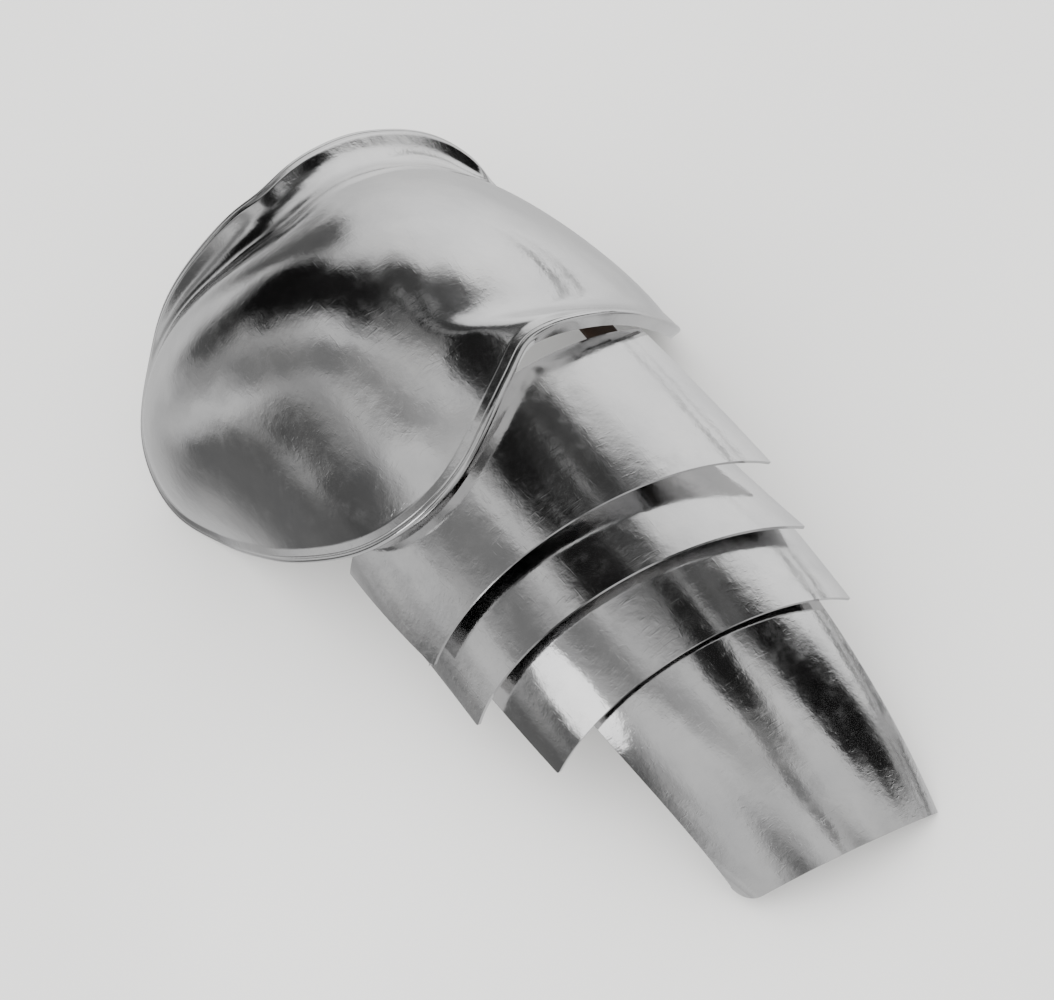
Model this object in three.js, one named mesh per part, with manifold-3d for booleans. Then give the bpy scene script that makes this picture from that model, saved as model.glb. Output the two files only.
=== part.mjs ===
// Left pauldron of polished plate armour: a domed shoulder plate with a round front wing, a smaller
// back wing and an upturned neck flange, above four overlapping arm lames. Two leathers inside carry
// the lames, each riveted once to every plate.
//
// Millimetres. While it is modelled, +X runs down the arm, +Y to the wearer's back and +Z outwards from
// the shoulder, with the arm's axis on the X axis. At the end the whole piece is laid hollow side down
// on its two wings and its last lame, with +Z up and the origin under the middle of its box.
import * as THREE from "three";
import { mergeVertices } from "three/addons/utils/BufferGeometryUtils.js";
import Module from "manifold-3d";

const wasm = await Module();
wasm.setup();

// Plate stock and clearances
const SHELL_WALL = 1.6;
const LAME_WALL = 1.3;
const LEATHER_WALL = 2.2;
const SEAT_GAP = 0.55;

// Shoulder plate. Its surface falls from a crown to the rim along curves that leave the crown level.
const CROWN = { x: 25, y: -10, z: 104 };
const REACH = 120;
const DROP = 130;
// Each row is one bearing on the rim, seen from above: 0 points down the arm, 90 to the back.
// reach and drop are shares of REACH and DROP, turn is the slope there in degrees, and flange is the
// share of FLANGE_HEIGHT that stands on the rim.
const RIM = [
  { bearing: -23, reach: 0.62, drop: 0.125, turn: 29, flange: 0 },
  { bearing: 1, reach: 0.495, drop: 0.063, turn: 14, flange: 0 },
  { bearing: 20, reach: 0.443, drop: 0.052, turn: 12, flange: 0 },
  { bearing: 42, reach: 0.452, drop: 0.064, turn: 15, flange: 0 },
  { bearing: 53, reach: 0.56, drop: 0.125, turn: 29, flange: 0 },
  { bearing: 60, reach: 0.73, drop: 0.29, turn: 52, flange: 0 },
  { bearing: 66, reach: 0.838, drop: 0.56, turn: 72, flange: 0 },
  { bearing: 74, reach: 0.852, drop: 0.83, turn: 82, flange: 0 },
  { bearing: 86, reach: 0.832, drop: 0.97, turn: 85, flange: 0 },
  { bearing: 101, reach: 0.812, drop: 1, turn: 85, flange: 0 },
  { bearing: 118, reach: 0.818, drop: 0.93, turn: 84, flange: 0.05 },
  { bearing: 129, reach: 0.832, drop: 0.8, turn: 79, flange: 0.45 },
  { bearing: 138, reach: 0.832, drop: 0.65, turn: 72, flange: 1.22 },
  { bearing: 150, reach: 0.77, drop: 0.475, turn: 62, flange: 1.22 },
  { bearing: 165, reach: 0.69, drop: 0.34, turn: 54, flange: 1.03 },
  { bearing: 185, reach: 0.62, drop: 0.28, turn: 49, flange: 0.98 },
  { bearing: 198, reach: 0.66, drop: 0.295, turn: 50, flange: 0.97 },
  { bearing: 209, reach: 0.76, drop: 0.375, turn: 55, flange: 0.85 },
  { bearing: 220, reach: 0.935, drop: 0.54, turn: 65, flange: 0.58 },
  { bearing: 232, reach: 1.085, drop: 0.82, turn: 78, flange: 0.12 },
  { bearing: 245, reach: 1.045, drop: 0.96, turn: 84, flange: 0 },
  { bearing: 258, reach: 0.897, drop: 0.9, turn: 82, flange: 0 },
  { bearing: 273, reach: 0.797, drop: 0.7, turn: 74, flange: 0 },
  { bearing: 294, reach: 0.733, drop: 0.45, turn: 60, flange: 0 },
  { bearing: 317, reach: 0.69, drop: 0.25, turn: 43, flange: 0 },
];
const RIM_FLARE = 16; // degrees that the plate's edge lifts before it is turned in
const FLARE_LENGTH = 5.5;
const LIP_WIDTH = 4; // of the flat band that ends the flare, and the flange too
const LIP_LEAN = 36; // degrees that this band leans out from the flange
const RIM_TURN_IN = 4.5; // depth of the edge that is turned in
const CORNER_RADIUS = 1.4; // of that turn, on the outside
const FLANGE_HEIGHT = 20;
const FLANGE_RISE = 64; // degrees that the flange stands up from the plate's own slope
// Near the crown, bearings share their shape with this many degrees either side, and less to the rim.
const FAIRING = 52;
const RIM_FAIRING = 7; // the same at the rim
const FAIRING_FADE = 0.7;
// Degrees to either side over which the plate's direction is read, so that its rim runs smoothly.
const SIDE_STEP = 3;
const SPOKES = 80;
const CROWN_RINGS = 10;
const FLANGE_STEPS = 4;
const CORNER_STEPS = 2;

// Arm lames, from the shoulder down.
const ARM_LENGTH = 284; // from the middle of the shoulder to the last lame's far edge
const ARM_RADIUS = 89.5; // outside of the widest lame
// top and edge are where the upper and lower edges cross the crest: along is a share of ARM_LENGTH, and
// radius (to the outside) and shift (of the lame's axis, to the back) are shares of ARM_RADIUS.
// lean carries an edge up the arm as it rises and skew carries its back end down the arm, both as slopes.
// front and back are how far round from the crest the lame reaches, in degrees, and sweep is how late the
// front goes over from the one to the other. bow swells the lame between its edges, and corner rounds its
// lower front corner, both as shares of ARM_RADIUS.
const LAME_SHAPES = [
  {
    name: "lame_1",
    top: { along: 0.268, radius: 0.961, shift: 0, lean: -0.02, skew: 0, front: 70, back: 53.5 },
    edge: { along: 0.525, radius: 1, shift: 0, lean: -0.09, skew: 0.11, front: 59, back: 57 },
    bow: 0.006,
    sweep: 1,
    corner: 0.017,
  },
  {
    name: "lame_2",
    top: { along: 0.423, radius: 0.883, shift: -0.045, lean: -0.09, skew: 0.13, front: 69, back: 58 },
    edge: { along: 0.627, radius: 0.953, shift: 0, lean: -0.09, skew: 0.14, front: 64, back: 54 },
    bow: -0.006,
    sweep: 1,
    corner: 0.017,
  },
  {
    name: "lame_3",
    top: { along: 0.563, radius: 0.883, shift: 0, lean: -0.09, skew: 0.1, front: 57.5, back: 57 },
    edge: { along: 0.743, radius: 0.863, shift: 0, lean: -0.08, skew: 0.09, front: 55, back: 59 },
    bow: 0.003,
    sweep: 1,
    corner: 0.017,
  },
  {
    name: "lame_4",
    top: { along: 0.676, radius: 0.832, shift: 0, lean: -0.05, skew: 0.09, front: 35, back: 49 },
    edge: { along: 1, radius: 0.598, shift: 0, lean: 0.22, skew: 0.2, front: 44, back: 50 },
    bow: 0.039,
    sweep: 4,
    corner: 0.101,
  },
];
const LAMES = LAME_SHAPES.map((shape) => {
  const sized = (end) => ({
    ...end,
    along: end.along * ARM_LENGTH,
    radius: end.radius * ARM_RADIUS,
    shift: end.shift * ARM_RADIUS,
  });
  const bow = shape.bow * ARM_RADIUS;
  const corner = shape.corner * ARM_RADIUS;
  return { ...shape, top: sized(shape.top), edge: sized(shape.edge), bow, corner };
});
const LAME_SPAN_STEPS = 23;
const LAME_LENGTH_STEPS = 6;

// Leathers inside: where each lies round from the crest, in degrees, and where it starts along the arm,
// as a share of ARM_LENGTH.
const LEATHER_WIDTH = 16;
const LEATHER_CORNER = 5;
const LEATHERS = [
  { name: "leather_front", round: -26, from: 0.176 },
  { name: "leather_back", round: 41, from: 0.113 },
];
const LEATHER_PAST_RIVET = 9;
const LEATHER_BENDS = [-13, -6, 0, 6]; // where it may bend, along from each rivet
const LEATHER_FEELERS = [-5, -2.5, 0, 2.5, 5]; // it keeps clear of the plates this far along from there
const RIVET_INSET = 9; // from a lame's upper edge to its rivets
const RIVET = { shank: 1.6, head: 4, rise: 1.6, clearance: 0.3, seat: 0.7, bite: 0.35, sides: 12 };

// How it lies on a level surface, in degrees: the elbow end let down, then the front wing lifted.
const REST_PITCH = 12.82;
const REST_ROLL = 3.86;

const STEEL = { color: 0xc4c5c6, roughness: 0.2, metalness: 1 };
const LEATHER = { color: 0x4a2f1e, roughness: 0.75, metalness: 0 };

const radians = THREE.MathUtils.degToRad;

// A smooth closed curve through a column of RIM, read at any bearing.
function rimColumn(name) {
  const slopes = RIM.map((row, i) => {
    const before = RIM[(i + RIM.length - 1) % RIM.length];
    const after = RIM[(i + 1) % RIM.length];
    const span = (after.bearing - before.bearing + 720) % 360;
    return (after[name] - before[name]) / span;
  });
  return (bearing) => {
    const first = RIM[0].bearing;
    const at = ((((bearing - first) % 360) + 360) % 360) + first;
    let i = RIM.length - 1;
    while (RIM[i].bearing > at) i -= 1;
    const next = (i + 1) % RIM.length;
    const span = (RIM[next].bearing - RIM[i].bearing + 360) % 360;
    const t = (at - RIM[i].bearing) / span;
    const t2 = t * t;
    const t3 = t2 * t;
    return (
      (2 * t3 - 3 * t2 + 1) * RIM[i][name] +
      (t3 - 2 * t2 + t) * span * slopes[i] +
      (3 * t2 - 2 * t3) * RIM[next][name] +
      (t3 - t2) * span * slopes[next]
    );
  };
}

const rim = {
  reach: rimColumn("reach"),
  drop: rimColumn("drop"),
  turn: rimColumn("turn"),
  flange: rimColumn("flange"),
};

// A column's value averaged over its neighbours: widely at the crown and not at all at the rim.
function faired(name, bearing, out) {
  const spread = Math.hypot(RIM_FAIRING, FAIRING * Math.max(0, 1 - out) ** FAIRING_FADE);
  const shares = [-0.8, -0.6, -0.4, -0.2, 0, 0.2, 0.4, 0.6, 0.8];
  let sum = 0;
  let weights = 0;
  for (const share of shares) {
    const weight = Math.cos((share * Math.PI) / 2);
    sum += weight * rim[name](bearing + spread * share);
    weights += weight;
  }
  return sum / weights;
}

// The shoulder plate's outer surface: out is 0 at the crown and 1 at the rim.
function shoulderPoint(bearing, out) {
  const turn = radians(faired("turn", bearing, out));
  const across = (REACH * faired("reach", bearing, out) * Math.sin(turn * out)) / Math.sin(turn);
  const down = (DROP * faired("drop", bearing, out) * (1 - Math.cos(turn * out))) / (1 - Math.cos(turn));
  return new THREE.Vector3(
    CROWN.x + across * Math.cos(radians(bearing)),
    CROWN.y + across * Math.sin(radians(bearing)),
    CROWN.z - down,
  );
}

// At a point of that surface: outwards square to it, and along it away from the crown.
function shoulderFrame(bearing, out) {
  const step = 0.01;
  const inner = shoulderPoint(bearing, out - step);
  const outer = shoulderPoint(bearing, out);
  const side = shoulderPoint(bearing + SIDE_STEP, out).sub(shoulderPoint(bearing - SIDE_STEP, out));
  const away = outer.clone().sub(inner).normalize();
  const normal = new THREE.Vector3().crossVectors(away, side).normalize();
  away.crossVectors(side, normal).normalize();
  return { normal, away };
}

// The shoulder plate's section beyond the rim, on its outer face: it rises into the flange or the slight
// flare, ends in a flat lip, then turns in. Each step is a distance and the way it heads, in degrees from
// the plate.
function rimSteps(flangeShare) {
  const raised = THREE.MathUtils.smoothstep(flangeShare, 0, 0.9);
  const rise = RIM_FLARE + (FLANGE_RISE - RIM_FLARE) * raised;
  const length = FLARE_LENGTH + FLANGE_HEIGHT * flangeShare - LIP_WIDTH;
  const steps = [];
  for (let i = 0; i < FLANGE_STEPS; i += 1) {
    const heading = rise * Math.min(1, (i + 0.5) / (0.8 * FLANGE_STEPS));
    steps.push({ length: length / FLANGE_STEPS, heading });
  }
  const lip = rise - LIP_LEAN * raised;
  steps.push({ length: LIP_WIDTH, heading: lip });
  const turned = lip + 90;
  const chord = 2 * CORNER_RADIUS * Math.sin(radians(turned / CORNER_STEPS / 2));
  for (let i = 0; i < CORNER_STEPS; i += 1) {
    steps.push({ length: chord, heading: lip - (turned * (i + 0.5)) / CORNER_STEPS });
  }
  steps.push({ length: RIM_TURN_IN, heading: -90 });
  return steps;
}

// Walks the steps in the plane of normal and away, and returns the outer face's points with the
// inner face's points SHELL_WALL behind them.
function rimSection(bearing) {
  const start = shoulderPoint(bearing, 1);
  const { normal, away } = shoulderFrame(bearing, 1);
  const steps = rimSteps(Math.max(0, rim.flange(bearing)));
  const at = (a, n) => start.clone().addScaledVector(away, a).addScaledVector(normal, n);
  const outer = [];
  const inner = [];
  let a = 0;
  let n = 0;
  steps.forEach(({ length, heading }, i) => {
    a += length * Math.cos(radians(heading));
    n += length * Math.sin(radians(heading));
    const next = steps[i + 1] ? steps[i + 1].heading : heading;
    const mid = radians((heading + next) / 2);
    const mitre = SHELL_WALL / Math.max(0.8, Math.cos(radians((heading - next) / 2)));
    outer.push(at(a, n));
    inner.push(at(a + mitre * Math.sin(mid), n - mitre * Math.cos(mid)));
  });
  // The corner's inner points would cross, so the inner face turns in one step there.
  const fold = FLANGE_STEPS;
  for (let i = fold + 1; i < fold + CORNER_STEPS; i += 1) {
    inner[i] = null;
  }
  return { outer, inner: inner.filter(Boolean) };
}

// The shoulder plate as rings of points, from the crown out over the outer face, round the edge and
// back over the inner face.
function shoulderPlate() {
  const rings = [];
  const columns = [];
  for (let s = 0; s < SPOKES; s += 1) {
    const bearing = (360 * s) / SPOKES;
    const outer = [];
    const inner = [];
    for (let r = 1; r <= CROWN_RINGS; r += 1) {
      const out = r / CROWN_RINGS;
      const p = shoulderPoint(bearing, out);
      const { normal } = shoulderFrame(bearing, out);
      outer.push(p);
      inner.push(p.clone().addScaledVector(normal, -SHELL_WALL));
    }
    const edge = rimSection(bearing);
    columns.push([...outer, ...edge.outer, ...edge.inner.reverse(), ...inner.reverse()]);
  }
  for (let r = 0; r < columns[0].length; r += 1) rings.push(columns.map((column) => column[r]));
  const crown = shoulderPoint(0, 0);
  return ringSolid(rings, crown, crown.clone().setZ(crown.z - SHELL_WALL));
}

// A closed body from rings of equal count, capped by a fan at its first and at its last point.
function ringSolid(rings, first, last) {
  const points = [first, ...rings.flat(), last];
  const count = rings[0].length;
  const index = [];
  const at = (ring, spoke) => 1 + ring * count + (spoke % count);
  for (let s = 0; s < count; s += 1) {
    index.push(0, at(0, s), at(0, s + 1));
    for (let r = 0; r + 1 < rings.length; r += 1) {
      index.push(at(r, s), at(r + 1, s), at(r + 1, s + 1));
      index.push(at(r, s), at(r + 1, s + 1), at(r, s + 1));
    }
    index.push(points.length - 1, at(rings.length - 1, s + 1), at(rings.length - 1, s));
  }
  return geometryOf(points, index);
}

function geometryOf(points, index) {
  const geometry = new THREE.BufferGeometry().setFromPoints(points);
  geometry.setIndex(index);
  geometry.computeVertexNormals();
  return geometry;
}

// A lame's outer face. u runs round it from front to back, v from its upper to its lower edge.
function lamePoint(lame, u, v) {
  const { top, edge, bow, corner } = lame;
  const mix = (name) => top[name] + (edge[name] - top[name]) * v;
  const radius = mix("radius") + bow * 4 * v * (1 - v);
  const front = top.front + (edge.front - top.front) * v ** lame.sweep;
  const round = radians(-front + (front + mix("back")) * u);
  const y = radius * Math.sin(round) + mix("shift");
  const z = radius * Math.cos(round);
  const crossing = (line) => line.along + line.lean * z + line.skew * y;
  // The lower edge's front corner is rounded off, so the lower edge draws back near it.
  const fromFront = radius * (round + radians(edge.front));
  const inset = Math.max(0, corner - fromFront);
  const cut = corner - Math.sqrt(Math.max(0, corner * corner - inset * inset));
  const upper = crossing(top);
  const lower = crossing(edge) - cut;
  return new THREE.Vector3(upper + (lower - upper) * v, y, z);
}

// A wall of the given thickness behind a face that is read on a grid, closed all round.
function wallSolid(face, us, vs, wall) {
  const step = 1e-3;
  const outer = [];
  const inner = [];
  for (const v of vs) {
    for (const u of us) {
      const p = face(u, v);
      const alongU = face(Math.min(1, u + step), v).sub(face(Math.max(0, u - step), v));
      const alongV = face(u, Math.min(1, v + step)).sub(face(u, Math.max(0, v - step)));
      const normal = new THREE.Vector3().crossVectors(alongV, alongU).normalize();
      outer.push(p);
      inner.push(p.clone().addScaledVector(normal, -wall));
    }
  }
  const wide = us.length;
  const behind = outer.length;
  const index = [];
  const quad = (a, b, c, d) => index.push(a, b, c, a, c, d);
  for (let j = 0; j + 1 < vs.length; j += 1) {
    for (let i = 0; i + 1 < wide; i += 1) {
      const a = j * wide + i;
      quad(a, a + wide, a + wide + 1, a + 1);
      quad(behind + a, behind + a + 1, behind + a + wide + 1, behind + a + wide);
    }
  }
  const border = [];
  for (let i = 0; i < wide; i += 1) border.push(i);
  for (let j = 1; j < vs.length; j += 1) border.push(j * wide + wide - 1);
  for (let i = wide - 2; i >= 0; i -= 1) border.push((vs.length - 1) * wide + i);
  for (let j = vs.length - 2; j > 0; j -= 1) border.push(j * wide);
  border.forEach((a, i) => {
    const b = border[(i + 1) % border.length];
    quad(a, b, behind + b, behind + a);
  });
  return geometryOf([...outer, ...inner], index);
}

function steps(count) {
  return Array.from({ length: count + 1 }, (_, i) => i / count);
}

function lameSolid(lame) {
  // Two more stations in the rounded corner than an even spacing would put there.
  const span = radians(lame.edge.front + lame.edge.back) * lame.edge.radius;
  const cornerShares = [0.12, 0.35, 0.65].map((share) => (share * lame.corner) / span);
  const us = [...steps(LAME_SPAN_STEPS), ...cornerShares].sort((a, b) => a - b);
  const face = (u, v) => lamePoint(lame, u, v);
  return wallSolid(face, us, steps(LAME_LENGTH_STEPS), LAME_WALL);
}

// Outwards from the arm's axis at an angle round from the crest, and the way across it.
function wayOut(round) {
  return new THREE.Vector3(0, Math.sin(radians(round)), Math.cos(radians(round)));
}

function wayAcross(round) {
  return new THREE.Vector3(0, Math.cos(radians(round)), -Math.sin(radians(round)));
}

// The distance outwards to the nearest plate, from a line beside the arm's axis.
function roomAt(plates, round, along, aside) {
  const origin = wayAcross(round).multiplyScalar(aside).setX(along);
  const hits = new THREE.Raycaster(origin, wayOut(round)).intersectObjects(plates);
  return hits.length ? hits[0].distance : Infinity;
}

// How far out a flat strip may lie there: clear of the plates over its width and a little either side.
function roomForLeather(plates, round, along) {
  const rooms = [];
  for (const share of [-0.5, -0.25, 0, 0.25, 0.5]) {
    const aside = share * LEATHER_WIDTH;
    for (const near of LEATHER_FEELERS) rooms.push(roomAt(plates, round, along + near, aside));
  }
  return Math.min(...rooms);
}

// A leather's outer line, as points (along, out), and where along it the rivets sit.
function leatherLine({ round, from: share }, plates) {
  const from = share * ARM_LENGTH;
  const rivets = [from + LEATHER_PAST_RIVET];
  for (const { top } of LAMES) {
    const slope = top.lean * Math.cos(radians(round)) + top.skew * Math.sin(radians(round));
    rivets.push(top.along + top.radius * slope + RIVET_INSET);
  }
  const marks = rivets.flatMap((at) => LEATHER_BENDS.map((bend) => at + bend));
  marks.splice(0, 2, from);
  marks.splice(-1, 1, rivets[rivets.length - 1] + LEATHER_PAST_RIVET);
  const line = marks.map((x) => new THREE.Vector2(x, roomForLeather(plates, round, x) - SEAT_GAP));
  return { line, rivets };
}

function heightOn(line, x) {
  let i = 1;
  while (i + 1 < line.length && line[i].x < x) i += 1;
  const t = (x - line[i - 1].x) / (line[i].x - line[i - 1].x);
  return line[i - 1].y + (line[i].y - line[i - 1].y) * t;
}

// A strip hung inwards from that line, with round corners at both ends.
function leatherSolid({ round }, line) {
  const first = line[0].x;
  const last = line[line.length - 1].x;
  const r = LEATHER_CORNER;
  const ends = [0, 0.15 * r, 0.4 * r, r];
  const xs = [...line.map((p) => p.x), ...ends.map((d) => first + d), ...ends.map((d) => last - d)];
  const stations = [...new Set(xs.map((x) => Math.round(x * 1000) / 1000))].sort((a, b) => a - b);
  const face = (u, v) => {
    const at = v * (stations.length - 1);
    const i = Math.min(stations.length - 2, Math.floor(at));
    const x = stations[i] + (stations[i + 1] - stations[i]) * (at - i);
    const fromEnd = Math.max(0, Math.min(x - first, last - x, r));
    const half = LEATHER_WIDTH / 2 - r + Math.sqrt(r * r - (r - fromEnd) ** 2);
    const point = wayOut(round).multiplyScalar(heightOn(line, x));
    return point.addScaledVector(wayAcross(round), (2 * u - 1) * half).setX(x);
  };
  const vs = stations.map((_, i) => i / (stations.length - 1));
  return wallSolid(face, [0, 0.5, 1], vs, LEATHER_WALL);
}

// A cylinder standing outwards at an angle round from the crest, between two distances from the axis.
function post(radius, round, along, from, to) {
  const geometry = new THREE.CylinderGeometry(radius, radius, to - from, RIVET.sides);
  const up = new THREE.Vector3(0, 1, 0);
  geometry.applyQuaternion(new THREE.Quaternion().setFromUnitVectors(up, wayOut(round)));
  const middle = wayOut(round).multiplyScalar((from + to) / 2).setX(along);
  return geometry.translate(middle.x, middle.y, middle.z);
}

// A manifold-3d solid of a closed geometry, and the geometry of one.
function solidOf(geometry) {
  const bare = geometry.clone();
  bare.deleteAttribute("normal");
  bare.deleteAttribute("uv");
  const merged = mergeVertices(bare, 1e-4);
  const vertProperties = new Float32Array(merged.attributes.position.array);
  const triVerts = new Uint32Array(merged.index.array);
  return new wasm.Manifold(new wasm.Mesh({ numProp: 3, vertProperties, triVerts }));
}

function geometryFrom(solid) {
  const mesh = solid.getMesh();
  const geometry = new THREE.BufferGeometry();
  geometry.setAttribute("position", new THREE.BufferAttribute(mesh.vertProperties, 3));
  geometry.setIndex(new THREE.BufferAttribute(mesh.triVerts, 1));
  geometry.computeVertexNormals();
  return geometry;
}

const assembly = new THREE.Group();

function addPiece(name, geometry, look) {
  const material = new THREE.MeshStandardMaterial({ ...look, side: THREE.DoubleSide });
  const mesh = new THREE.Mesh(geometry, material);
  mesh.name = name;
  assembly.add(mesh);
  return mesh;
}

const plates = [addPiece("shoulder_plate", shoulderPlate(), STEEL)];
for (const lame of LAMES) plates.push(addPiece(lame.name, lameSolid(lame), STEEL));

// Each rivet goes from its head inside, through the leather, into a shallow seat in the plate. Outside,
// the rivets are filed flush and polished over, so the plates' faces are left whole.
const seats = plates.map(() => []);
const leatherHoles = LEATHERS.map(() => []);
const leatherLines = LEATHERS.map((leather) => leatherLine(leather, plates));
LEATHERS.forEach(({ name, round }, l) => {
  leatherLines[l].rivets.forEach((along, i) => {
    const plate = roomAt([plates[i]], round, along, 0);
    const strip = heightOn(leatherLines[l].line, along);
    const dips = [-RIVET.head, RIVET.head].map((d) => strip - heightOn(leatherLines[l].line, along + d));
    const head = strip - LEATHER_WALL * 1.02 - 0.3 - Math.max(0, ...dips);
    const shank = solidOf(post(RIVET.shank, round, along, head - RIVET.rise / 2, plate + RIVET.bite));
    const foot = solidOf(post(RIVET.head, round, along, head - RIVET.rise, head));
    addPiece(`rivet_${name.slice(8)}_${i + 1}`, geometryFrom(shank.add(foot)), STEEL);
    const wide = RIVET.shank + RIVET.clearance;
    seats[i].push(solidOf(post(wide, round, along, plate - 3, plate + RIVET.seat)));
    leatherHoles[l].push(solidOf(post(wide, round, along, strip - LEATHER_WALL * 3, strip + 3)));
  });
});
plates.forEach((plate, i) => {
  const seated = seats[i].reduce((solid, seat) => solid.subtract(seat), solidOf(plate.geometry));
  plate.geometry = geometryFrom(seated);
});
LEATHERS.forEach((leather, l) => {
  const strip = solidOf(leatherSolid(leather, leatherLines[l].line));
  const pierced = leatherHoles[l].reduce((solid, hole) => solid.subtract(hole), strip);
  addPiece(leather.name, geometryFrom(pierced), LEATHER);
});

// Laid down on the tips of both wings and the back corner of the last lame.
const pitched = new THREE.Matrix4().makeRotationY(radians(REST_PITCH));
const laid = new THREE.Matrix4().makeRotationX(radians(REST_ROLL)).multiply(pitched);
for (const piece of assembly.children) piece.geometry.applyMatrix4(laid);
const box = new THREE.Box3().setFromObject(assembly, true);
const middle = box.getCenter(new THREE.Vector3());
for (const piece of assembly.children) piece.geometry.translate(-middle.x, -middle.y, -box.min.z);

export default assembly;
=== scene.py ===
"""The look of the left pauldron: plates of polished steel on brown leathers, laid on a pale floor.

The plates are drawn again from the same sizes as the CAD part, only finer. Lengths are in millimetres
until a mesh is made, and angles are in degrees. The floor and the lamp are in metres.
"""

import math
from collections import namedtuple

import bpy
import numpy as np
from mathutils import Matrix, Vector


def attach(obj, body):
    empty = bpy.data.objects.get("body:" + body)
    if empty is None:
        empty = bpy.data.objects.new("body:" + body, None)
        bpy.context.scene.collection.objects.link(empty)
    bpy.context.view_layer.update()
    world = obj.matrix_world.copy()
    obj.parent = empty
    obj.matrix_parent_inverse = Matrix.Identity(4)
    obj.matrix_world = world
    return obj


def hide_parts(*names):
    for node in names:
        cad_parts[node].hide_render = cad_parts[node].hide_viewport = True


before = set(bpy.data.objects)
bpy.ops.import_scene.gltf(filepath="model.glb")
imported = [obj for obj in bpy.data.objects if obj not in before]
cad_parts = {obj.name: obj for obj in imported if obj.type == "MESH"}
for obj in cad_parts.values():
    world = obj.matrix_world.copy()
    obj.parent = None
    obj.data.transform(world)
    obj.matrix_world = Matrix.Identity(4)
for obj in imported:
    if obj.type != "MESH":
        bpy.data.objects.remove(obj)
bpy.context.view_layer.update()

# Sizes, as in the CAD part

SHELL_WALL = 1.6
LAME_WALL = 1.3
LEATHER_WALL = 2.2
CROWN = (25, -10, 104)
REACH = 120
DROP = 130
RIM_COLUMNS = ("bearing", "reach", "drop", "turn", "flange")
RIM = [
    (-23, 0.62, 0.125, 29, 0),
    (1, 0.495, 0.063, 14, 0),
    (20, 0.443, 0.052, 12, 0),
    (42, 0.452, 0.064, 15, 0),
    (53, 0.56, 0.125, 29, 0),
    (60, 0.73, 0.29, 52, 0),
    (66, 0.838, 0.56, 72, 0),
    (74, 0.852, 0.83, 82, 0),
    (86, 0.832, 0.97, 85, 0),
    (101, 0.812, 1, 85, 0),
    (118, 0.818, 0.93, 84, 0.05),
    (129, 0.832, 0.8, 79, 0.45),
    (138, 0.832, 0.65, 72, 1.22),
    (150, 0.77, 0.475, 62, 1.22),
    (165, 0.69, 0.34, 54, 1.03),
    (185, 0.62, 0.28, 49, 0.98),
    (198, 0.66, 0.295, 50, 0.97),
    (209, 0.76, 0.375, 55, 0.85),
    (220, 0.935, 0.54, 65, 0.58),
    (232, 1.085, 0.82, 78, 0.12),
    (245, 1.045, 0.96, 84, 0),
    (258, 0.897, 0.9, 82, 0),
    (273, 0.797, 0.7, 74, 0),
    (294, 0.733, 0.45, 60, 0),
    (317, 0.69, 0.25, 43, 0),
]
RIM_FLARE = 16
FLARE_LENGTH = 5.5
LIP_WIDTH = 4
LIP_LEAN = 36
RIM_TURN_IN = 4.5
CORNER_RADIUS = 1.4
FLANGE_HEIGHT = 20
FLANGE_RISE = 64
# From this share of FLANGE_HEIGHT the sheet has its full rise
FULL_FLANGE = 0.9
# The first part of the flare that bends, as a share of it
FLARE_BEND = 0.8
# Bearings over which the columns of RIM are evened out, near the crown and at the rim
FAIRING = 52
RIM_FAIRING = 7
FAIRING_FADE = 0.7
SIDE_STEP = 3
# Bearings over which the directions of the flange are evened out, where it is tall and where it is low
FLANGE_FAIRING = 22
LOW_FLANGE_FAIRING = 0.3
TALL_FLANGE = 0.6
FAIRING_REACH = 50
CALM_CROWN = 0.75
LIP_CREASE = 0.9
GROOVE_FROM_EDGE = 1.1
GROOVE_WIDTH = 0.9
GROOVE_DEPTH = 0.3

# How finely the shoulder plate is drawn. It has one spoke for each degree of bearing.
SPOKES = 360
RINGS = 64
FLARE_STEPS = 26
LIP_STEPS = 20
CORNER_STEPS = 8
TURN_IN_STEPS = 4

ARM_LENGTH = 284
ARM_RADIUS = 89.5
# along is a share of ARM_LENGTH, and radius, shift, bow and corner are shares of ARM_RADIUS. front and back
# are how far round from the crest a lame reaches.
End = namedtuple("End", "along radius shift lean skew front back")
Lame = namedtuple("Lame", "name top edge bow sweep corner")
LAME_SHAPES = [
    Lame(
        "lame_1",
        top=End(0.268, 0.961, 0, -0.02, 0, 70, 53.5),
        edge=End(0.525, 1, 0, -0.09, 0.11, 59, 57),
        bow=0.006,
        sweep=1,
        corner=0.017,
    ),
    Lame(
        "lame_2",
        top=End(0.423, 0.883, -0.045, -0.09, 0.13, 69, 58),
        edge=End(0.627, 0.953, 0, -0.09, 0.14, 64, 54),
        bow=-0.006,
        sweep=1,
        corner=0.017,
    ),
    Lame(
        "lame_3",
        top=End(0.563, 0.883, 0, -0.09, 0.1, 57.5, 57),
        edge=End(0.743, 0.863, 0, -0.08, 0.09, 55, 59),
        bow=0.003,
        sweep=1,
        corner=0.017,
    ),
    Lame(
        "lame_4",
        top=End(0.676, 0.832, 0, -0.05, 0.09, 35, 49),
        edge=End(1, 0.598, 0, 0.22, 0.2, 44, 50),
        bow=0.039,
        sweep=4,
        corner=0.101,
    ),
]


def sized_end(end):
    sizes = (ARM_LENGTH, ARM_RADIUS, ARM_RADIUS, 1, 1, 1, 1)
    return End(*(value * size for value, size in zip(end, sizes)))


def sized_lame(shape):
    """A lame with its shares turned into millimetres."""
    top, edge = sized_end(shape.top), sized_end(shape.edge)
    return shape._replace(top=top, edge=edge, bow=shape.bow * ARM_RADIUS, corner=shape.corner * ARM_RADIUS)


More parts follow.
